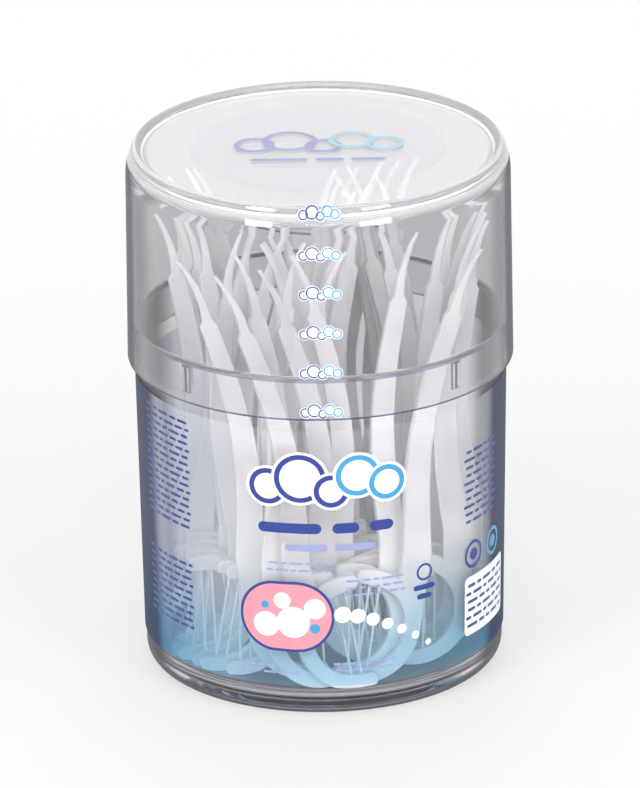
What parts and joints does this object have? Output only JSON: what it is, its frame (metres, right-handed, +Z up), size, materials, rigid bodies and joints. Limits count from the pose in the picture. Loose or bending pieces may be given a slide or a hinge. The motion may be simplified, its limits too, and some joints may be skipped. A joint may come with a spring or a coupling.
{
  "type": "floss pick canister",
  "caption": "Round clear plastic canister with a deep push-on lid, a printed clear wrap, and a bunch of white floss picks standing inside.",
  "frame": {"origin": "middle of the canister's underside, on the surface it stands on", "axes": "+Z up along the canister's axis, -Y towards the front with the seal strip, +X to the right seen from the front"},
  "size_m": [0.067, 0.0673, 0.0948],
  "materials": {
    "clear_polystyrene": "clear, polished",
    "clear_film": "clear printed film",
    "white_plastic": "satin"
  },
  "bodies": {
    "canister": {"base_cup": "clear_polystyrene", "wrap_label": "clear_film", "pick_01": "white_plastic", "pick_02": "white_plastic", "pick_03": "white_plastic", "pick_04": "white_plastic", "pick_05": "white_plastic", "pick_06": "white_plastic", "pick_07": "white_plastic", "pick_08": "white_plastic", "pick_09": "white_plastic", "pick_10": "white_plastic", "pick_11": "white_plastic", "pick_12": "white_plastic", "pick_13": "white_plastic", "pick_14": "white_plastic", "pick_15": "white_plastic", "pick_16": "white_plastic", "pick_17": "white_plastic", "pick_18": "white_plastic", "pick_19": "white_plastic", "pick_20": "white_plastic", "pick_21": "white_plastic", "pick_22": "white_plastic", "pick_23": "white_plastic", "pick_24": "white_plastic", "pick_25": "white_plastic", "pick_26": "white_plastic", "pick_27": "white_plastic", "pick_28": "white_plastic", "pick_29": "white_plastic", "pick_30": "white_plastic", "pick_31": "white_plastic", "pick_32": "white_plastic", "pick_33": "white_plastic", "pick_34": "white_plastic", "pick_35": "white_plastic", "pick_36": "white_plastic", "pick_37": "white_plastic", "pick_38": "white_plastic", "pick_39": "white_plastic", "pick_40": "white_plastic", "pick_41": "white_plastic", "pick_42": "white_plastic", "pick_43": "white_plastic", "pick_44": "white_plastic", "pick_45": "white_plastic", "pick_46": "white_plastic", "pick_47": "white_plastic", "pick_48": "white_plastic", "pick_49": "white_plastic", "pick_50": "white_plastic"},
    "lid_body": {"lid": "clear_polystyrene", "lid_label": "clear_film", "seal_strip": "clear_film"}
  },
  "joints": [
    {"name": "lid_lift", "type": "slide", "parent": "canister", "child": "lid_body", "axis": [0, 0, 1], "range_m": [0, 0.045]}
  ]
}
